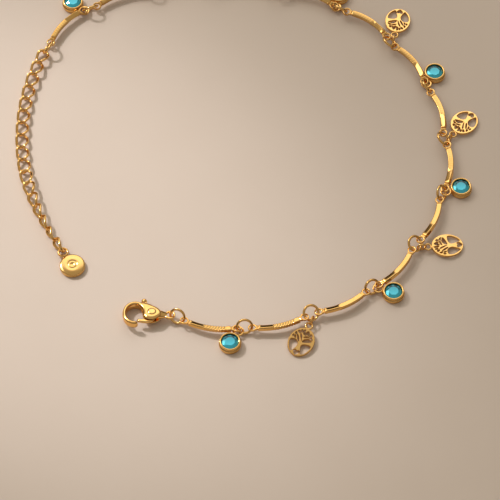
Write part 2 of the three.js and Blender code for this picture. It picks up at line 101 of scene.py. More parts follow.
# A grid of points (rows, columns, 3) as a closed skin: point (r, c) has index r * columns + c.
# Rows close on themselves, or each end gets a fan of triangles about its middle. Columns always
# close.
def skin(grid, closedRows=False, uv=None):
    rows, columns = grid.shape[:2]
    r = np.arange(rows if closedRows else rows - 1)[:, None]
    c = np.arange(columns)[None, :]
    nextRow, nextColumn = (r + 1) % rows, (c + 1) % columns
    fours = np.stack([r * columns + c, r * columns + nextColumn,
                      nextRow * columns + nextColumn, nextRow * columns + c], axis=-1)
    fours = fours.reshape(-1, 4)
    points = grid.reshape(-1, 3)
    uvs = np.zeros((len(points), 2)) if uv is None else uv.reshape(-1, 2)
    threes = np.zeros((0, 3), int)
    if not closedRows:
        ends = np.array([grid[0].mean(axis=0), grid[-1].mean(axis=0)])
        k = np.arange(columns)
        first, last = len(points), len(points) + 1
        start = np.stack([np.full(columns, first), (k + 1) % columns, k], axis=-1)
        base = (rows - 1) * columns
        stop = np.stack([np.full(columns, last), base + k, base + (k + 1) % columns], axis=-1)
        threes = np.vstack([start, stop])
        points = np.vstack([points, ends])
        uvs = np.vstack([uvs, uvs[:columns].mean(axis=0), uvs[-columns:].mean(axis=0)])
    return points, fours, threes, uvs


# A profile of radius and height carried round the z axis; it starts and ends on the axis
def lathe(profile, sides=72):
    profile = np.array(profile, float)
    angle = np.linspace(0, 2 * np.pi, sides, endpoint=False)
    grid = np.stack([profile[:, None, 0] * np.cos(angle), profile[:, None, 0] * np.sin(angle),
                     np.repeat(profile[:, 1:2], sides, axis=1)], axis=-1)
    return skin(grid[1:-1], uv=grid[1:-1, :, :2])


# A closed profile of radius and height carried round the z axis
def hoop(profile, sides=64):
    profile = np.array(profile, float)
    angle = np.linspace(0, 2 * np.pi, sides, endpoint=False)
    grid = np.stack([profile[None, :, 0] * np.cos(angle)[:, None],
                     profile[None, :, 0] * np.sin(angle)[:, None],
                     np.repeat(profile[None, :, 1], sides, axis=0)], axis=-1)
    return skin(grid, closedRows=True)


# Superellipse: each axis is the sign and the power 2/n of the cosine or sine. With an even
# number given, its polygon gets that many points at equal distances instead.
def roundedSection(halfWidth, halfHeight, power=4.0, count=24, even=0):
    angle = np.linspace(0, 2 * np.pi, count, endpoint=False) + np.pi / count
    c, s = np.cos(angle), np.sin(angle)
    across = np.sign(c) * np.abs(c) ** (2 / power)
    high = np.sign(s) * np.abs(s) ** (2 / power)
    if even:
        loop = np.stack([np.append(across, across[0]), np.append(high, high[0])])
        length = np.append(0, np.cumsum(np.hypot(*np.diff(loop))))
        at = np.linspace(0, length[-1], even, endpoint=False)
        across, high = np.interp(at, length, loop[0]), np.interp(at, length, loop[1])
    return np.multiply.outer(halfWidth, across), np.multiply.outer(halfHeight, high)


# Circle of a round wire, as radius and height about the ring's axis
def wireProfile(radius, wire, count=14):
    angle = np.linspace(0, 2 * np.pi, count, endpoint=False)
    return np.stack([radius + wire / 2 * np.cos(angle), wire / 2 * np.sin(angle)], axis=-1)


# Superellipse section of a flat ring, as radius and height about its axis
def flatRingProfile(inner, outer, thickness, power=4.0, count=20):
    across, high = roundedSection((outer - inner) / 2, thickness / 2, power, count)
    return np.stack([(inner + outer) / 2 + across, high], axis=-1)


# A closed smooth curve through a few points: cubic with tangents from the neighbours
def smoothLoop(points, steps=6):
    points = np.array(points, float)
    before, after, later = np.roll(points, 1, 0), np.roll(points, -1, 0), np.roll(points, -2, 0)
    t = np.linspace(0, 1, steps, endpoint=False)[None, :, None]
    p0, p1, p2, p3 = before[:, None], points[:, None], after[:, None], later[:, None]
    curve = 0.5 * (2 * p1 + (p2 - p0) * t + (2 * p0 - 5 * p1 + 4 * p2 - p3) * t ** 2
                   + (3 * p1 - p0 - 3 * p2 + p3) * t ** 3)
    return curve.reshape(-1, points.shape[1])


# Section carried along a path: each point is the path's point plus the section's two measures
# along the two directions given there
def sweepGrid(path, across, high, halfWidth, halfHeight, power=4.0, count=24, even=0):
    a, h = roundedSection(np.broadcast_to(halfWidth, len(path)),
                          np.broadcast_to(halfHeight, len(path)), power, count, even)
    return path[:, None] + across[:, None] * a[..., None] + high[:, None] * h[..., None]


def sweep(*shape):
    return skin(sweepGrid(*shape))


# Makes the mesh of a part. It is shaded smooth, smooth up to an angle in degrees, or flat for 0.
def makePiece(name, part, material, node, body="anklet", sharp=None):
    points, fours, threes, uvs = part
    mesh = bpy.data.meshes.new(name)
    mesh.from_pydata((points * mm).tolist(), [], fours.tolist() + threes.tolist())
    layer = mesh.uv_layers.new(name="UVMap")
    corner = np.zeros(len(mesh.loops), np.int32)
    mesh.loops.foreach_get("vertex_index", corner)
    layer.data.foreach_set("uv", uvs[corner].ravel())
    mesh.validate()
    if sharp != 0:
        mesh.polygons.foreach_set("use_smooth", np.ones(len(mesh.polygons), bool))
    if sharp:
        mesh.set_sharp_from_angle(angle=math.radians(sharp))
    mesh.materials.append(material)
    piece = bpy.data.objects.new(name, mesh)
    bpy.context.scene.collection.objects.link(piece)
    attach(piece, body)
    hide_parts(node)


# Shader sockets as values: arithmetic adds Math nodes, node() adds any other
class Shade:
    def __init__(self, tree, socket):
        self.tree, self.socket = tree, socket

    def node(self, kind, settings=(), output=0, **inputs):
        made = self.tree.nodes.new(kind)
        for key, value in dict(settings).items():
            setattr(made, key, value)
        for key, value in inputs.items():
            spot = made.inputs[int(key[2:]) if key.startswith("in") else key]
            if isinstance(value, Shade):
                self.tree.links.new(value.socket, spot)
            else:
                spot.default_value = value
        return Shade(self.tree, made.outputs[output])

    def math(self, operation, *others):
        values = {f"in{k}": v for k, v in enumerate(others)}
        return self.node("ShaderNodeMath", {"operation": operation}, **values)

    def __add__(self, other):
        return self.math("ADD", self, other)

    def __radd__(self, other):
        return self.math("ADD", other, self)

    def __sub__(self, other):
        return self.math("SUBTRACT", self, other)

    def __rsub__(self, other):
        return self.math("SUBTRACT", other, self)

    def __mul__(self, other):
        return self.math("MULTIPLY", self, other)

    def __rmul__(self, other):
        return self.math("MULTIPLY", other, self)

    def __truediv__(self, other):
        return self.math("DIVIDE", self, other)

    def __rtruediv__(self, other):
        return self.math("DIVIDE", other, self)


def startMaterial(name):
    material = bpy.data.materials.new(name)
    material.use_nodes = True
    tree = material.node_tree
    shader = next(n for n in tree.nodes if n.type == "BSDF_PRINCIPLED")
    return material, shader, Shade(tree, None)


def feed(base, shader, socket, value):
    base.tree.links.new(value.socket, shader.inputs[socket])


def mixColour(base, factor, first, second):
    return base.node("ShaderNodeMix", {"data_type": "RGBA"}, output=2,
                     in0=factor, in6=first, in7=second)


# The piece's own uv map, in mm, as two values
def uvValues(base):
    uv = base.node("ShaderNodeUVMap", {"uv_map": "UVMap"})
    split = base.node("ShaderNodeSeparateXYZ", Vector=uv)
    return split, Shade(base.tree, split.socket.node.outputs[1])


# Smooth step of a value from 0 at the first edge to 1 at the second
def ease(base, value, first, second):
    return base.node("ShaderNodeMapRange", {"interpolation_type": "SMOOTHSTEP"}, in0=value,
                     in1=first, in2=second, in3=0.0, in4=1.0)


gold = {"light": (0.95, 0.61, 0.24, 1), "deep": (0.80, 0.45, 0.12, 1), "rough": 0.1,
        "roughVaries": 0.1, "blotch": 420, "grain": 5200, "grainDepth": 0.000004, "bump": 0.6}
# The bars' gold is a darker copy of the plate gold, painted shade that dims their reflections; its
# line depth is the bars' real faint lines
barShadedGold = {"light": (0.85, 0.53, 0.20, 1), "deep": (0.70, 0.39, 0.10, 1), "lineDepth": 0.000006}
# Ribs of the first bars: places along the bar in mm from its middle, depth as a share of the
# section. Every bar has the faint lines.
ribs = {"pitch": 0.62, "slant": 0.4, "start": -1.7, "stop": 3.9, "fade": 0.4, "depth": 0.16,
        "narrow": 3, "bars": 2, "lineHeight": 0.5, "grainHeight": 0.12}


# Polished plate: two golds by slow noise, roughness by finer noise, a faint grain in the bump.
# With a line depth, faint slanting lines cross a bar, by a sine of its uv in mm, and fade out
# toward both ends.
def makeGold(name, lineDepth=0.0, **changed):
    settings = {**gold, **changed}
    material, shader, base = startMaterial(name)
    place = base.node("ShaderNodeTexCoord", output=3)
    slow = base.node("ShaderNodeTexNoise", Vector=place, Scale=settings["blotch"], Detail=3.0)
    fine = base.node("ShaderNodeTexNoise", Vector=place, Scale=settings["grain"], Detail=2.0)
    feed(base, shader, "Base Color", mixColour(base, slow, settings["light"], settings["deep"]))
    feed(base, shader, "Roughness", settings["rough"] + settings["roughVaries"] * fine * slow)
    shader.inputs["Metallic"].default_value = 1.0
    height, depth = fine, settings["grainDepth"]
    if lineDepth > 0:
        along, around = uvValues(base)
        wave = base.math("SINE", (along + around * ribs["slant"]) * (2 * math.pi / ribs["pitch"]))
        begins = ease(base, along, ribs["start"], ribs["start"] + ribs["fade"])
        ends = ease(base, along, ribs["stop"], ribs["stop"] - ribs["fade"])
        height = wave * begins * ends * ribs["lineHeight"] + fine * ribs["grainHeight"]
        depth = lineDepth
    bump = base.node("ShaderNodeBump", Strength=settings["bump"], Distance=depth, Height=height)
    feed(base, shader, "Normal", bump)
    return material


# Radius, crown, girdle and pavilion in mm. The table, the star points, the back's waist and its
# point are shares of the radius, and the star's and waist's heights of crown and pavilion.
stone = {"radius": 1.97, "table": 0.58, "star": 0.82, "starHeight": 0.56, "crown": 0.42,
         "girdle": 0.12, "pavilion": 0.72, "backWaist": 0.5, "waistDepth": 0.6, "backPoint": 0.12}
# Colours, then where each part of the painted light and shade begins and is full: upper half by y in
# mm, the rest by the share of the radius, patches by a wave round the stone. Then the weights of the
# painted tone: lighter toward -y, facet glints, painted shade of arc, rim, edge and gaps, highlight
# patches.
stoneLook = {"bright": (0.05, 0.52, 0.66, 1), "deep": (0.002, 0.05, 0.07, 1),
             "mid": (0.010, 0.30, 0.38, 1), "wedges": 7, "turn": 1.0, "twist": 7.0,
             "upper": (-0.5, 1.1), "arcInner": (0.46, 0.58), "arcOuter": (0.74, 0.64),
             "outer": (0.66, 0.74), "edge": (0.86, 0.97), "patch": (-0.2, 0.5),
             "tone": 0.76, "slope": 0.15, "facets": 0.08, "edgeDark": 0.2,
             "arcDark": 0.62, "rimDark": 0.5, "gapDark": 0.34, "patchLight": 0.22,
             "metal": 0.25, "metalVaries": 0.35,
             "plain": {"Roughness": 0.08, "Coat Weight": 0.6, "Coat Roughness": 0.02, "IOR": 1.6}}


# Foiled crystal seen from above, with its light and shade painted into its colour from its uv in mm:
# a painted bright table, and over its upper half a painted shade arc round the table, painted
# highlight patches past it and a painted shade edge
def makeCrystal(name):
    look = stoneLook
    material, shader, base = startMaterial(name)
    x, y = uvValues(base)
    radius = base.math("SQRT", x * x + y * y) / stone["radius"]
    angle = base.math("ARCTAN2", y, x)
    wedge = base.math("COSINE", angle * look["wedges"] + look["turn"])
    fine = base.math("COSINE", angle * 2 * look["wedges"] + radius * look["twist"])
    upper = ease(base, y, *look["upper"])
    arc = ease(base, radius, *look["arcInner"]) * ease(base, radius, *look["arcOuter"])
    outer = ease(base, radius, *look["outer"])
    edge = ease(base, radius, *look["edge"])
    patch = ease(base, wedge, *look["patch"])
    # Painted shade over the upper half: a dark arc round the table, a dark rim and dark gaps between
    # the highlight patches
    shadow = arc * look["arcDark"] + edge * look["rimDark"] + outer * (1.0 - patch) * look["gapDark"]
    # Painted tone: lighter toward -y, painted facet glints, a painted dark edge and painted highlight
    # patches
    tone = (look["tone"] - y * look["slope"] + fine * radius * look["facets"]
            - edge * look["edgeDark"] - upper * shadow + upper * outer * patch * look["patchLight"])
    clipped = base.node("ShaderNodeClamp", in0=tone, in1=0.0, in2=1.0)
    dark = mixColour(base, clipped, look["deep"], look["mid"])
    colour = mixColour(base, clipped * clipped, dark, look["bright"])
    feed(base, shader, "Base Color", colour)
    # The stone is made more metallic where the painted tone is bright, a painted sheen
    feed(base, shader, "Metallic", look["metal"] + clipped * look["metalVaries"])
    for socket, value in look["plain"].items():
        shader.inputs[socket].default_value = value
    return material


goldPlain = makeGold("goldPlate")
shadedGoldBar = makeGold("shadedGoldBar", **barShadedGold)
aquaCrystal = makeCrystal("aquaCrystal")
print("materials made")

bar = {"chord": 9.3, "sag": 0.72, "halfWidth": 0.61, "halfHeight": 0.475, "eyeReach": 1.3,
       "eyeOuter": 1.0, "eyeInner": 0.64, "eyeThickness": 0.42,
       "power": 7.0, "rows": 40, "columns": 28, "ribbedRows": 240, "ribbedColumns": 44,
       # the strip's own roll in degrees past the crease and before it, and where the crease is;
       # the roll is gone this far from the bar's end, and fades over the next length
       "rollAfter": 2, "rollBefore": -17, "crease": -1.2, "creaseLength": 1.0,
       "rollEnd": 0.1, "rollFade": 0.5, "margin": 0.5,
       # beyond the bar's end: how far, half width, half height
       "tip": ((-0.3, 0.61, 0.475), (-0.1, 0.605, 0.47), (-0.03, 0.57, 0.44), (0.01, 0.47, 0.32),
               (0.03, 0.43, 0.21), (0.12, 0.43, 0.2), (0.16, 0.5, 0.22), (0.18, 0.61, 0.28),
               (0.24, 0.65, 0.31), (0.42, 0.65, 0.31), (0.49, 0.6, 0.27), (0.54, 0.5, 0.2),
               (0.62, 0.4, 0.17))}
bar["radius"] = (bar["chord"] ** 2 / 4 + bar["sag"] ** 2) / (2 * bar["sag"])
bar["halfAngle"] = math.asin(bar["chord"] / 2 / bar["radius"])
bar["eyeAlong"] = bar["chord"] / 2 + bar["eyeReach"] * math.cos(bar["halfAngle"])
bar["eyeDrop"] = bar["sag"] + bar["eyeReach"] * math.sin(bar["halfAngle"])

# The solids' wire is thinner, and the places of the hung pieces follow it
ring = {"radius": 1.76, "wire": 0.58, "solidWire": 0.48, "inset": 0.1, "eyeShare": 0.972}
ring["eyeStep"] = 2 * ring["radius"] * ring["eyeShare"]
connector = {"radius": 0.95, "wire": 0.42, "lift": 0.03, "sink": 0.2}
setting = {"wall": 0.38, "height": 1.7, "back": 0.3, "lip": 0.16, "bailOuter": 1.28,
           "bailInner": 0.82, "bailThickness": 0.32, "bailHeight": 0.86, "sink": 0.2}
setting["radius"] = stone["radius"] + lay["clearance"] + setting["wall"]
setting["reach"] = setting["radius"] + setting["bailOuter"] - setting["sink"]
# Gaps shorter than the small gap, as a share of the half length, grow by the first factor
tree = {"halfLength": 3.55, "halfWidth": 2.9, "thickness": 0.6, "loopRadius": 0.74,
        "loopWire": 0.42, "loopHeight": 0.95, "overlap": 0.12, "tipLift": 0.05, "edge": 0.05,
        "smallGap": 0.45, "growSmall": 1.16, "growLarge": 1.06}
tree["reach"] = tree["halfLength"] + tree["loopRadius"] + tree["loopWire"] / 2 - tree["overlap"]


# The ring through two eyes, leaning from upright with its lower side out
def ringThrough(first, second, lean):
    along = second - first
    half = np.linalg.norm(along) / 2
    along = along / (2 * half)
    out = np.cross(along, up)
    out /= np.linalg.norm(out)
    rise = np.cross(out, along) * math.cos(math.radians(lean)) - out * math.sin(math.radians(lean))
    middle = (first + second) / 2 + rise * math.sqrt(ring["radius"] ** 2 - half ** 2)
    turn = np.stack([along, rise, np.cross(along, rise)], axis=-1)
    return {"where": (turn, middle), "along": along, "rise": rise, "out": out, "middle": middle}


# A point on the ring's circle, by the sine of its angle above the ring's middle and its side
def pointOnRing(hung, sine, side):
    return (hung["middle"] + hung["along"] * side * ring["radius"] * math.sqrt(1 - sine ** 2)
            + hung["rise"] * ring["radius"] * sine)


# The level direction away from the ring, turned by the swing in degrees, and its heading
def swungOut(hung, swing):
    heading = math.degrees(math.atan2(hung["out"][1], hung["out"][0])) + swing
    return planDirection(heading), heading


# Slanting grooves: each section shrinks toward the path by a power of a sine of the length along
# the bar plus a share of the way across it, and the grooves fade out toward both ends
def grooved(grid, path, out, along):
    offset = grid - path[:, None]
    across = (offset * out[:, None]).sum(axis=-1)
    wave = np.sin((along[:, None] + across * ribs["slant"]) * 2 * np.pi / ribs["pitch"])
    fade = np.clip(np.minimum(along - ribs["start"], ribs["stop"] - along) / ribs["fade"], 0, 1)
    shrink = ribs["depth"] * (0.5 + 0.5 * wave) ** ribs["narrow"] * fade[:, None]
    return path[:, None] + offset * (1 - shrink[..., None])


# The bar's strip follows its arc: x along the eyes' line, the arc bulging to -y
def barPart(ribbed=False):
    tip = np.array(bar["tip"])
    arc = bar["radius"] * bar["halfAngle"]
    rows = bar["ribbedRows"] if ribbed else bar["rows"]
    body = np.linspace(-arc + bar["margin"], arc - bar["margin"], rows)
    along = np.concatenate([-(arc + tip[::-1, 0]), body, arc + tip[:, 0]])
    halfWidth = np.concatenate([tip[::-1, 1], np.full(rows, bar["halfWidth"]), tip[:, 1]])
    halfHeight = np.concatenate([tip[::-1, 2], np.full(rows, bar["halfHeight"]), tip[:, 2]])
    angle = np.clip(along, -arc, arc) / bar["radius"]
    beyond = along - np.clip(along, -arc, arc)
    out = np.stack([np.sin(angle), -np.cos(angle), 0 * angle], axis=-1)
    ahead = np.stack([np.cos(angle), np.sin(angle), 0 * angle], axis=-1)
    path = out * bar["radius"] + [0, bar["radius"] - bar["eyeDrop"], 0] + ahead * beyond[:, None]
    step = np.clip((along - bar["crease"]) / bar["creaseLength"] + 0.5, 0, 1)
    share = step * step * (3 - 2 * step)
    inside = np.clip((arc - bar["rollEnd"] - np.abs(along)) / bar["rollFade"], 0, 1)
    roll = bar["rollBefore"] + (bar["rollAfter"] - bar["rollBefore"]) * share
    roll = np.radians(inside * roll)[:, None]
    out, high = out * np.cos(roll) - up * np.sin(roll), -up * np.cos(roll) - out * np.sin(roll)
    grid = sweepGrid(path, out, high, halfWidth, halfHeight, bar["power"], bar["columns"],
                     bar["ribbedColumns"] if ribbed else 0)
    if ribbed:
        grid = grooved(grid, path, out, along)
    around = np.linspace(0, 4 * (bar["halfWidth"] + bar["halfHeight"]), grid.shape[1])
    strip = skin(grid, uv=np.stack(np.broadcast_arrays(along[:, None], around[None, :]), axis=-1))
    eye = hoop(flatRingProfile(bar["eyeInner"], bar["eyeOuter"], bar["eyeThickness"]), 56)
    eye[3][:] = 99  # past the lines
    return together(strip, shifted(eye, -bar["eyeAlong"]), shifted(eye, bar["eyeAlong"]))


# The cup: its wall runs out to a step under the rim, and the rim folds in over the stone
def crystalPart():
    rim = setting["radius"] - setting["wall"]
    top, outer = setting["height"], setting["radius"]
    profile = [(0, 0), (outer - 0.3, 0), (outer - 0.12, 0.04), (outer - 0.02, 0.14), (outer, 0.26),
               (outer, top - 0.9), (outer - 0.03, top - 0.8), (outer - 0.12, top - 0.72),
               (outer - 0.24, top - 0.62), (outer - 0.26, top - 0.5), (outer - 0.17, top - 0.3),
               (outer - 0.14, top - 0.14), (outer - 0.2, top - 0.04), (outer - 0.28, top),
               (rim - 0.02, top), (rim - 0.1, top - 0.03), (rim - 0.15, top - 0.09),
               (rim - 0.16, top - 0.17), (rim - 0.04, top - 0.27), (rim, top - 0.4),
               (rim, setting["back"]), (0, setting["back"])]
    cup = lathe(profile, 80)
    bail = flatRingProfile(setting["bailInner"], setting["bailOuter"], setting["bailThickness"], 3.0)
    return together(cup, shifted(hoop(bail, 56), setting["reach"], 0, setting["bailHeight"]))


# A bmesh as points, faces of four and faces of three, read as whole arrays
def meshArrays(work):
    draft = bpy.data.meshes.new("draft")
    work.to_mesh(draft)
    work.free()
    points = np.zeros(3 * len(draft.vertices), np.float32)
    draft.vertices.foreach_get("co", points)
    corners = np.zeros(len(draft.loops), np.int32)
    draft.loops.foreach_get("vertex_index", corners)
    starts = np.zeros(len(draft.polygons), np.int32)
    draft.polygons.foreach_get("loop_start", starts)
    sides = np.zeros(len(draft.polygons), np.int32)
    draft.polygons.foreach_get("loop_total", sides)
    bpy.data.meshes.remove(draft)
    fours = corners[starts[sides == 4][:, None] + np.arange(4)]
    threes = corners[starts[sides == 3][:, None] + np.arange(3)]
    return points.reshape(-1, 3).astype(float), fours, threes


# Round stone: table, star points, girdle and a closed back, as the hull of rings of points
def stonePart():
    def level(count, radius, height, turn):
        angle = 2 * np.pi * (np.arange(count) + turn) / count
        flat = radius * np.stack([np.cos(angle), np.sin(angle)], axis=-1)
        return np.hstack([flat, np.full((count, 1), height)])

    r, under = stone["radius"], -stone["girdle"]
    points = np.vstack([
        level(8, r * stone["table"], stone["crown"], 0),
        level(8, r * stone["star"], stone["crown"] * stone["starHeight"], 0.5),
        level(16, r, 0, 0), level(16, r, under, 0),
        level(8, r * stone["backWaist"], under - stone["pavilion"] * stone["waistDepth"], 0.5),
        level(4, r * stone["backPoint"], under - stone["pavilion"], 0)])
    shell = bmesh.new()
    for point in points:
        shell.verts.new(point)
    bmesh.ops.convex_hull(shell, input=shell.verts)
    bmesh.ops.recalc_face_normals(shell, faces=shell.faces)
    ordered, fours, threes = meshArrays(shell)
    return ordered, fours, threes, ordered[:, :2].copy()


# Gaps of the tree as shares of half length (toward the loop) and half width, listed one by one
treeGaps = (
    ((-0.76, 0.42), (-0.5, 0.26), (-0.27, 0.2), (-0.07, 0.3), (0.04, 0.5), (-0.02, 0.8),
     (-0.26, 0.82), (-0.5, 0.7), (-0.68, 0.55)),
    ((-0.8, -0.34), (-0.74, -0.52), (-0.58, -0.68), (-0.35, -0.8), (-0.1, -0.78), (-0.1, -0.36),
     (-0.24, -0.15), (-0.5, -0.2)),
    ((-0.92, 0.02), (-0.82, 0.17), (-0.68, 0.23), (-0.61, 0.12), (-0.66, 0.03), (-0.62, -0.08),
     (-0.7, -0.18), (-0.82, -0.14)),
    ((0.06, 0.03), (0.2, 0.13), (0.38, 0.25), (0.5, 0.28), (0.42, 0.16), (0.22, 0.06)),
    ((0.0, 0.2), (0.1, 0.34), (0.26, 0.46), (0.38, 0.5), (0.32, 0.39), (0.14, 0.25)),
    ((0.03, -0.12), (0.05, -0.32), (0.12, -0.52), (0.2, -0.68), (0.3, -0.58), (0.3, -0.34),
     (0.18, -0.15)),
    ((0.36, -0.5), (0.32, -0.72), (0.42, -0.68), (0.5, -0.52)),
    ((0.5, -0.09), (0.58, -0.2), (0.54, -0.34), (0.68, -0.32), (0.82, -0.18), (0.66, -0.05)),
    ((0.54, 0.03), (0.64, 0.15), (0.8, 0.18), (0.87, 0.08), (0.7, 0.03)),
    ((0.54, 0.36), (0.58, 0.5), (0.66, 0.56), (0.72, 0.48), (0.64, 0.38)),
    ((0.18, 0.74), (0.2, 0.82), (0.3, 0.82), (0.34, 0.77), (0.28, 0.72)),
    ((0.38, 0.57), (0.42, 0.7), (0.52, 0.7), (0.56, 0.64), (0.47, 0.58)),
    ((0.62, 0.24), (0.68, 0.34), (0.78, 0.36), (0.82, 0.28), (0.72, 0.24)),
    ((0.52, -0.42), (0.54, -0.55), (0.62, -0.58), (0.7, -0.46), (0.62, -0.4)),
    ((0.13, 0.53), (0.16, 0.63), (0.27, 0.66), (0.32, 0.61), (0.23, 0.55)),
    ((0.34, -0.05), (0.36, -0.22), (0.42, -0.4), (0.48, -0.3), (0.44, -0.14)),
)


# The pierced disc: a filled flat curve with its gaps, given thickness and a chamfered edge
def treePlate():
    edge, size = tree["edge"], np.array([tree["halfLength"], tree["halfWidth"]])
    curve = bpy.data.curves.new("treeDraft", "CURVE")
    curve.dimensions = "2D"
    curve.fill_mode = "BOTH"
    curve.extrude = tree["thickness"] / 2 - edge
    curve.bevel_depth = edge
    curve.bevel_resolution = 0
    curve.offset = -edge
    angle = np.linspace(0, 2 * np.pi, 72, endpoint=False)
    loops = [np.stack([np.cos(angle), np.sin(angle)], axis=-1) * size]
    for gap in map(np.array, treeGaps):
        middle = gap.mean(axis=0)
        small = np.ptp(gap[:, 0]) < tree["smallGap"]
        grown = middle + (gap - middle) * tree["growSmall" if small else "growLarge"]
        loops.append(smoothLoop(grown * size, 4))
    for loop in loops:
        spline = curve.splines.new("POLY")
        spline.points.add(len(loop) - 1)
        spline.points.foreach_set("co", np.hstack([loop, loop * 0 + [0, 1]]).ravel())
        spline.use_cyclic_u = True
    draft = bpy.data.objects.new("treeDraft", curve)
    bpy.context.scene.collection.objects.link(draft)
    flat = bpy.data.meshes.new_from_object(draft)
    work = bmesh.new()
    work.from_mesh(flat)
    bmesh.ops.remove_doubles(work, verts=work.verts, dist=0.001)
    bmesh.ops.recalc_face_normals(work, faces=work.faces)
    bmesh.ops.triangulate(work, faces=[f for f in work.faces if len(f.verts) > 4])
    points, fours, threes = meshArrays(work)
    bpy.data.objects.remove(draft)
    bpy.data.curves.remove(curve)
    bpy.data.meshes.remove(flat)
    return points, fours, threes, points[:, :2] * 0


barShape, ribbedShape = barPart(), barPart(ribbed=True)
cupShape, stoneShape, treeShape = crystalPart(), stonePart(), treePlate()
ringShape = hoop(wireProfile(ring["radius"] - ring["inset"], ring["wire"]), 64)
print("shapes worked out")

clasp = {"eyeReach": 4.0, "eyeOuter": 1.22, "eyeInner": 0.68, "eyeThickness": 0.52,
         "hookMiddle": (-3.75, -0.2), "hookHalf": (2.3, 2.85), "hookWidth": 1.02, "thickness": 2.2,
         "hookStart": 40, "hookEnd": 288, "slot": 0.95, "bulgeY": 0.4,
         "outline": ((-1.75, -1.15), (-0.9, -1.95), (0.4, -2.0), (1.5, -1.35), (2.15, -0.4),
                     (1.95, 0.6), (1.1, 1.5), (-0.3, 2.3), (-1.7, 2.85), (-2.75, 2.95),
                     (-2.85, 2.5), (-2.2, 0.9)),
         # toward its tip the hook narrows and lowers by these shares, and its last part rounds
         "hookNarrows": 0.18, "hookLowers": 0.12, "hookHeight": 0.92, "hookPower": 2.6,
         "tipStart": 0.95, "tipRounds": 0.6,
         # the cheek's outline as shares: in the slot, at the wall's foot, then how it domes
         "wallShare": 0.94, "domes": 0.6, "domePower": 2.4,
         "neck": (1.5, 3.3), "neckWidths": (1.1, 0.62), "neckHeights": (0.95, 0.3),
         "shoulder": ((-2.05, 1.2, 0), (-1.95, 2.5, 0)), "shoulderHalf": 0.3, "shoulderSink": 0.15,
         # radius and height over the cheek's top
         "rivet": ((0, -0.2), (0.9, -0.19), (1.0, -0.02), (0.93, 0.07), (0.7, 0.14), (0.35, 0.18),
                   (0, 0.19))}
# The lever's arm and stem by a few points with the half width at each, then the knob
lever = {"arm": ((-3.2, -1.92, 0.3), (-2.3, -2.0, 0.36), (-1.2, -2.02, 0.5), (-0.2, -1.6, 0.66),
                 (0.2, -0.8, 0.78), (0.0, 0.0, 0.7)),
         "stem": ((0.0, 0.0, 0.7), (-0.5, 1.2, 0.5), (-1.15, 2.5, 0.36), (-1.8, 3.6, 0.3)),
         "thickness": 0.7, "steps": 26, "knob": (-1.9, 3.75), "knobRadius": 0.66}


# The hook follows a stretch of an ellipse, with its section's two measures falling along it
def hookPart():
    steps = 44
    t = np.linspace(0, 1, steps)
    angle = np.radians(clasp["hookStart"] + (clasp["hookEnd"] - clasp["hookStart"]) * t)
    a, b = clasp["hookHalf"]
    path = np.stack([clasp["hookMiddle"][0] + a * np.cos(angle),
                     clasp["hookMiddle"][1] + b * np.sin(angle), 0 * angle], axis=-1)
    out = np.stack([b * np.cos(angle), a * np.sin(angle), 0 * angle], axis=-1)
    out /= np.linalg.norm(out, axis=1)[:, None]
    tip = np.clip((t - clasp["tipStart"]) / (1 - clasp["tipStart"]), 0, 1)
    thin = np.sqrt(1 - tip ** 2 * clasp["tipRounds"])
    halfWidth = clasp["hookWidth"] / 2 * thin * (1 - clasp["hookNarrows"] * t)
    halfHeight = clasp["thickness"] / 2 * thin * (1 - clasp["hookLowers"] * t) * clasp["hookHeight"]
    return sweep(path, out, np.tile(-up, (steps, 1)), halfWidth, halfHeight, clasp["hookPower"])


# The upper cheek of the body: its outline shrinks as it rises from the slot, by a power of the
# way up the dome, and its height follows a sine
def cheekPart():
    loop = smoothLoop(clasp["outline"], 5)
    low, high = clasp["slot"] / 2, clasp["thickness"] / 2
    t = np.linspace(0, 1, 9)
    wall = clasp["wallShare"]
    swell = (1 - wall) * np.minimum(t * 8, 1) * (1 - t ** 3)
    dome = wall + swell - clasp["domes"] * t ** clasp["domePower"]
    share = np.concatenate([[0.02, 0.5, wall], dome, [0.2, 0.02]])[:, None, None]
    height = np.concatenate([[low, low, low], low + (high - low) * np.sin(t * np.pi / 2),
                             [high + 0.05, high + 0.07]])
    middle = np.array([0.0, clasp["bulgeY"]])
    flat = (loop - middle)[None] * share + middle
    grid = np.concatenate([flat, np.repeat(height[:, None, None], len(loop), axis=1)], axis=-1)
    return skin(grid)


# A rounded box along a straight line, whose half width and height may change from end to end
def boxSweep(start, end, halfWidth, halfHeight, power=4.0):
    steps = 8
    start, end = np.array(start, float), np.array(end, float)
    path = start + (end - start) * np.linspace(0, 1, steps)[:, None]
    ahead = (end - start) / np.linalg.norm(end - start)
    across = np.tile(np.cross(ahead, up), (steps, 1))
    high = np.tile(-up, (steps, 1))
    widths = np.linspace(*np.broadcast_to(halfWidth, 2), steps)
    heights = np.linspace(*np.broadcast_to(halfHeight, 2), steps)
    return sweep(path, across, high, widths, heights, power, 20)


def claspPart():
    cheek = cheekPart()
    lower = flipped((cheek[0] * [1, 1, -1], *cheek[1:]))
    eye = flatRingProfile(clasp["eyeInner"], clasp["eyeOuter"], clasp["eyeThickness"], 3.0)
    eye = shifted(hoop(eye, 56), clasp["eyeReach"])
    start, end = clasp["neck"]
    neck = boxSweep((start, 0, 0), (end, 0, 0), clasp["neckWidths"], clasp["neckHeights"], 2.6)
    halfSlot = clasp["slot"] / 2 + clasp["shoulderSink"]
    shoulder = boxSweep(*clasp["shoulder"], clasp["shoulderHalf"], halfSlot)
    rivet = shifted(lathe(clasp["rivet"], 40), 0, 0, clasp["thickness"] / 2)
    return together(hookPart(), cheek, lower, eye, neck, shoulder, flipped(rivet))


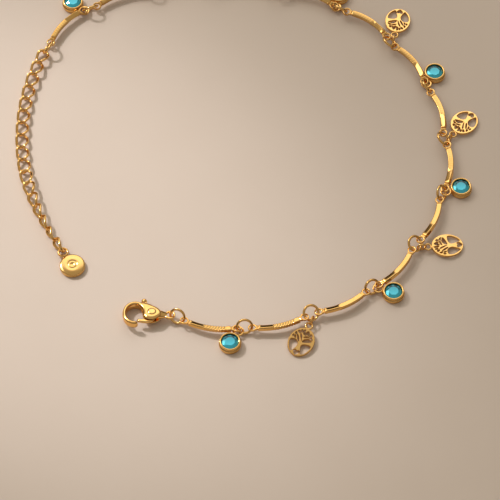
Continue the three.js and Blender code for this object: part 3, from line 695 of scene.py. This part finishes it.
# The lever: a flat arm with rounded edges, its stem and the ball
def leverPart():
    parts = []
    for line in (np.array(lever["arm"]), np.array(lever["stem"])):
        t = np.linspace(0, len(line) - 1, lever["steps"])
        k = np.arange(len(line))
        path = np.stack([np.interp(t, k, line[:, 0]), np.interp(t, k, line[:, 1]), 0 * t], axis=-1)
        ahead = np.gradient(path, axis=0)
        ahead /= np.linalg.norm(ahead, axis=1)[:, None]
        end = np.sqrt(np.clip(np.minimum(t, t[-1] - t) * 4, 0.15, 1))
        halfWidth, halfHeight = np.interp(t, k, line[:, 2]) * end, lever["thickness"] / 2 * end
        high = np.tile(-up, (len(t), 1))
        parts.append(sweep(path, np.cross(ahead, up), high, halfWidth, halfHeight, 4.0, 20))
    angle = np.linspace(-np.pi / 2, np.pi / 2, 18)
    ball = lathe(lever["knobRadius"] * np.stack([np.cos(angle), np.sin(angle)], axis=-1), 32)
    return together(*parts, shifted(ball, *lever["knob"]))


# Headings and rolls in degrees; the rolls are those of the first links and of the last ones
link = {"pitch": 3.43, "wire": 0.66, "solidWire": 0.5, "width": 3.2, "sink": 0.24, "count": 17,
        "twist": 42, "lift": 0.29, "firstHeading": -111, "lastHeading": -57,
        "firstRoll": (14, 10, 5), "lastRoll": (18, 36, 54, 70, 84, 94, 84)}
link["length"] = link["pitch"] + 2 * link["solidWire"] - link["sink"]
link["bend"] = (link["width"] - link["solidWire"]) / 2


# A link: a stadium of round wire, turned about its long axis in step with the length
def linkPart():
    radius = (link["width"] - link["wire"]) / 2
    stretch = (link["length"] - link["wire"]) / 2 - radius
    angle = np.linspace(0, 2 * np.pi, 44, endpoint=False)
    out = np.stack([np.cos(angle), np.sin(angle), 0 * angle], axis=-1)
    middle = radius * out
    middle[:, 0] += np.sign(np.cos(angle)) * stretch
    around = np.linspace(0, 2 * np.pi, 12, endpoint=False)[None, :, None]
    wire = out[:, None] * np.cos(around) + up * np.sin(around)
    grid = middle[:, None] + link["wire"] / 2 * wire
    turn = 2 * math.radians(link["twist"]) * grid[..., 0] / link["length"]
    y, z = grid[..., 1].copy(), grid[..., 2].copy()
    grid[..., 1] = y * np.cos(turn) - z * np.sin(turn)
    grid[..., 2] = y * np.sin(turn) + z * np.cos(turn)
    return skin(grid, closedRows=True)


tag = {"radius": 2.83, "thickness": 1.2, "loopRadius": 1.02, "loopWire": 0.52, "loopHeight": 0.9,
       "heading": -57, "overlap": 0.12,
       # share of the radius and height of the lower wall, then share and depth under the top
       "wall": ((0, 0), (0.93, 0), (0.975, 0.05), (1, 0.16), (1, 0.52), (0.965, 0.58),
                (0.965, 0.64), (1, 0.7)),
       "dome": ((1, 0.36), (0.985, 0.25), (0.95, 0.17), (0.85, 0.1), (0.6, 0.03), (0.4, 0),
                (0.37, 0.03), (0.345, 0.06), (0.32, 0.03), (0.3, 0), (0.16, 0), (0.13, 0.05),
                (0, 0.07))}
tag["reach"] = tag["radius"] + tag["loopRadius"] + tag["loopWire"] / 2 - tag["overlap"]


# The tag is turned from its wall and its dome, which holds a ring and a dimple
def tagPart():
    wall = np.array(tag["wall"]) * [tag["radius"], 1]
    dome = np.array(tag["dome"]) * [tag["radius"], -1] + [0, tag["thickness"]]
    loop = hoop(wireProfile(tag["loopRadius"], tag["loopWire"]), 48)
    disc = lathe(np.vstack([wall, dome]), 80)
    return together(disc, shifted(loop, tag["reach"], 0, tag["loopHeight"]))


# Walks the anklet and sets every piece on its place
def dressAnklet():
    eye = np.array([*lay["start"], lay["crystalEye"]]) + [*lay["shift"], 0]
    count = len(lay["barHeading"])
    for k in range(count):
        crystal = k % 2 == 0
        lean = lay["crystalLean"] if crystal else lay["treeLean"]
        far = eye + planDirection(lay["barHeading"][k]) * 2 * bar["eyeAlong"]
        far[2] = lay["crystalEye"] if crystal or k == count - 1 else lay["treeEye"]
        pitch = -math.degrees(math.atan2(far[2] - eye[2], 2 * bar["eyeAlong"]))
        where = frameAt((eye + far) / 2, lay["barHeading"][k], lay["barRoll"], pitch)
        strip = ribbedShape if k < ribs["bars"] else barShape
        makePiece(f"bar{k + 1}", placed(strip, where), shadedGoldBar, f"bar_{k + 1}")
        if k == 0:
            dressClasp(eye)
        if k == count - 1:
            dressExtension(far)
            return
        nextEye = far + planDirection(lay["stepHeading"][k]) * ring["eyeStep"]
        hung = ringThrough(far, nextEye, lean)
        makePiece(f"jumpRing{k + 1}", placed(ringShape, hung["where"]), goldPlain,
                  f"jump_ring_{k + 1}")
        away, heading = swungOut(hung, lay["swing"][k])
        if crystal:
            dressCrystal(k // 2 + 1, hung, away, heading, lay["slide"][k])
        else:
            dressTree((k + 1) // 2, hung, away, heading, lay["slide"][k])
        eye = nextEye


# The setting lies on the floor with its bail on the ring, and the stone sits in it
def dressCrystal(number, hung, away, heading, side):
    sine = (setting["bailHeight"] - hung["middle"][2]) / (ring["radius"] * hung["rise"][2])
    foot = pointOnRing(hung, sine, side) + away * setting["reach"]
    foot[2] = 0
    where = frameAt(foot, heading + 180)
    makePiece(f"crystalSetting{number}", placed(cupShape, where), goldPlain,
              f"crystal_setting_{number}", sharp=50)
    seat = setting["height"] - setting["lip"] - 2 * lay["clearance"]
    points, fours, threes, _ = placed(stoneShape, (where[0], where[1] + up * seat))
    uv = (points - where[1])[:, :2]  # the painted light and shade keep the room's directions
    makePiece(f"crystalStone{number}", (points, fours, threes, uv), aquaCrystal,
              f"crystal_stone_{number}", sharp=0)


# The small connector ring stands on the floor through the jump ring, and the tree charm's loop
# is soldered to its far side, with the disc's far end near the floor
def dressTree(number, hung, away, heading, slide):
    angle = math.radians(slide)
    wire = pointOnRing(hung, -math.cos(angle), math.copysign(1, slide))
    centre = wire.copy()
    centre[2] = connector["radius"] + connector["wire"] / 2 + connector["lift"]
    hold = connector["radius"] - (ring["solidWire"] + connector["wire"]) / 2 - lay["clearance"]
    centre += away * math.sqrt(max(0, hold ** 2 - (centre[2] - wire[2]) ** 2))
    seat = connector["radius"] - (tree["loopWire"] + connector["wire"]) / 2 + connector["sink"]
    near = math.sqrt(seat ** 2 - (centre[2] - tree["loopHeight"]) ** 2)
    drop = tree["loopHeight"] - tree["thickness"] / 2 - tree["tipLift"]
    pitch = math.asin(drop / (tree["reach"] + tree["halfLength"]))
    middle = centre + away * (near + tree["loopRadius"] + tree["reach"] * math.cos(pitch))
    middle[2] = tree["loopHeight"] - tree["reach"] * math.sin(pitch)
    where = frameAt(middle, heading + 180, 0, -math.degrees(pitch))
    loop = shifted(hoop(wireProfile(tree["loopRadius"], tree["loopWire"]), 40), tree["reach"])
    charm = placed(together(treeShape, loop), where)
    small = hoop(wireProfile(connector["radius"], connector["wire"]), 44)
    small = placed(small, frameAt(centre, heading, 90))
    makePiece(f"treeCharm{number}", together(charm, small), goldPlain,
              f"tree_charm_{number}", sharp=40)


def dressClasp(firstEye):
    claspEye = firstEye - planDirection(lay["claspStep"]) * ring["eyeStep"]
    hung = ringThrough(claspEye, firstEye, lay["crystalLean"])
    makePiece("claspRing", placed(ringShape, hung["where"]), goldPlain, "clasp_ring")
    pivot = claspEye - planDirection(lay["claspHeading"]) * clasp["eyeReach"]
    where = frameAt(pivot, lay["claspHeading"], lay["claspRoll"])
    makePiece("claspBody", placed(claspPart(), where), goldPlain, "clasp_body", sharp=60)
    makePiece("claspLever", placed(leverPart(), where), goldPlain, "clasp_lever", body="lever",
              sharp=60)


# The links follow an arc of headings from the extension ring, each rolled as it lies
def dressExtension(lastEye):
    reach = 2 * ring["radius"] * lay["extensionShare"]
    farSide = lastEye + planDirection(lay["extensionStep"]) * reach
    farSide[2] = lay["extensionEye"]
    hung = ringThrough(lastEye, farSide, lay["crystalLean"])
    makePiece("extensionRing", placed(ringShape, hung["where"]), goldPlain, "extension_ring")
    gap = (ring["solidWire"] + link["solidWire"]) / 2 + 2 * lay["clearance"]
    tip = farSide - hung["along"] * gap
    startHeight = tip[2]
    half = (link["length"] - link["solidWire"]) / 2
    last = link["count"] - 1
    level = [0] * (link["count"] - len(link["firstRoll"]) - len(link["lastRoll"]))
    shape, links = linkPart(), []
    for k, roll in enumerate([*link["firstRoll"], *level, *link["lastRoll"]]):
        heading = link["firstHeading"] + (link["lastHeading"] - link["firstHeading"]) * k / last
        middle = tip + planDirection(heading) * half
        rise = math.sin(math.radians(min(90, link["twist"] / 2 + roll)))
        middle[2] = link["lift"] + link["bend"] * rise
        pitch = 0.0
        if k == 0:
            middle[2] = (startHeight + middle[2]) / 2
            pitch = math.degrees(math.asin((startHeight - middle[2]) / half))
        links.append(placed(shape, frameAt(middle, heading, roll, pitch)))
        tip = middle + planDirection(heading) * (half if k == last else link["pitch"] - half)
    makePiece("extensionChain", together(*links), goldPlain, "extension_chain")
    below = tip[2] - tag["loopHeight"]
    near = math.sqrt(link["bend"] ** 2 - below ** 2) - link["bend"] + tag["reach"]
    foot = tip + planDirection(tag["heading"]) * near
    foot[2] = 0
    where = frameAt(foot, tag["heading"] + 180)
    makePiece("roundTag", placed(tagPart(), where), goldPlain, "tag", sharp=60)


dressAnklet()
print("anklet dressed")

# The surface: pale paper with a faint mottle
floor = {"half": 1.2, "drop": 0.00002, "colour": (0.715, 0.60, 0.50, 1),
         "shade": (0.685, 0.57, 0.47, 1), "mottle": 60.0, "rough": 0.75}
paper, paperShader, paperBase = startMaterial("palePaper")
paperPlace = paperBase.node("ShaderNodeTexCoord", output=3)
mottle = paperBase.node("ShaderNodeTexNoise", Vector=paperPlace, Scale=floor["mottle"], Detail=4.0)
paperColour = mixColour(paperBase, mottle, floor["colour"], floor["shade"])
feed(paperBase, paperShader, "Base Color", paperColour)
paperShader.inputs["Roughness"].default_value = floor["rough"]
corners = [(x * floor["half"], y * floor["half"], -floor["drop"])
           for x, y in ((-1, -1), (1, -1), (1, 1), (-1, 1))]
floorMesh = bpy.data.meshes.new("surface")
floorMesh.from_pydata(corners, [], [(0, 1, 2, 3)])
floorMesh.materials.append(paper)
surface = bpy.data.objects.new("surface", floorMesh)
bpy.context.scene.collection.objects.link(surface)

# A room dark toward its walls, with one broad bright panel high behind the anklet and a glow
# round the key light
# Each edge is a cosine of the angle from the middle, or from straight up
room = {"dark": (0.04, 0.03, 0.022, 1), "base": (0.42, 0.39, 0.34, 1), "climb": (0.14, 0.62),
        "panel": (1.72, 1.65, 1.55, 1), "panelToward": (0.0, 0.76, 0.65), "panelEdges": (0.87, 0.985),
        "glow": (3.4, 3.2, 2.9, 1), "glowToward": (-0.57, 0.40, 0.72), "glowEdges": (0.95, 0.985)}
world = bpy.data.worlds.new("room")
world.use_nodes = True
background = next(n for n in world.node_tree.nodes if n.type == "BACKGROUND")
sky = Shade(world.node_tree, None)
toSky = sky.node("ShaderNodeTexCoord", output=0)


# How far the room's direction lies between two cosines of its angle from a given one
def patchOfRoom(toward, edges):
    facing = sky.node("ShaderNodeVectorMath", {"operation": "DOT_PRODUCT"}, output=1,
                      in0=toSky, in1=toward)
    return ease(sky, facing, *edges)


panel = patchOfRoom(room["panelToward"], room["panelEdges"])
glow = patchOfRoom(room["glowToward"], room["glowEdges"])
climb = patchOfRoom((0, 0, 1), room["climb"])
walls = mixColour(sky, climb, room["dark"], room["base"])
lit = mixColour(sky, glow, mixColour(sky, panel, walls, room["panel"]), room["glow"])
world.node_tree.links.new(lit.socket, background.inputs["Color"])
background.inputs["Strength"].default_value = 1.0
bpy.context.scene.world = world


# Rows of a placing matrix whose z axis points back from the aim
def aimAt(place, aim):
    away = np.array(place, float) - np.array(aim, float)
    away /= np.linalg.norm(away)
    side = np.cross(up, away)
    side /= np.linalg.norm(side)
    rise = np.cross(away, side)
    return Matrix([[side[k], rise[k], away[k], place[k]] for k in range(3)] + [[0, 0, 0, 1]])


# The key light comes from the upper left and fades out across the right of the picture
key = {"aim": (-0.050, -0.017, 0), "toward": (-0.50, 0.46, 0.73), "distance": 0.62, "power": 9.4,
       "colour": (0.96, 0.95, 1.0), "radius": 0.022, "coneDegrees": 14.6, "blend": 0.9}
lamp = bpy.data.lights.new("keyLight", "SPOT")
lamp.energy, lamp.color, lamp.shadow_soft_size = key["power"], key["colour"], key["radius"]
lamp.spot_size, lamp.spot_blend = math.radians(key["coneDegrees"]), key["blend"]
holder = bpy.data.objects.new("keyLight", lamp)
keyToward = np.array(key["toward"]) / np.linalg.norm(key["toward"])
keyPlace = np.array(key["aim"]) + keyToward * key["distance"]
holder.matrix_world = aimAt(keyPlace, key["aim"])
bpy.context.scene.collection.objects.link(holder)

bpy.context.scene.view_settings.view_transform = "Standard"

# Camera fitted to the photograph: 57 degrees down from 740 mm, 3312 px of focal length
view = {"elevation": 57.0, "distance": 740.0, "focalPixels": 3312.0, "imagePixels": 500.0,
        "sensor": 36.0}
camera = bpy.data.cameras.new("view")
camera.sensor_width = view["sensor"]
camera.lens = view["focalPixels"] * view["sensor"] / view["imagePixels"]
camera.clip_start = 0.01
target = np.array([*lay["shift"], 0]) * mm
lift = math.radians(view["elevation"])
place = target + np.array([0, -math.cos(lift), math.sin(lift)]) * view["distance"] * mm
eyeObject = bpy.data.objects.new("view", camera)
eyeObject.matrix_world = aimAt(place, target)
bpy.context.scene.collection.objects.link(eyeObject)
bpy.context.scene.camera = eyeObject
print("stage set")
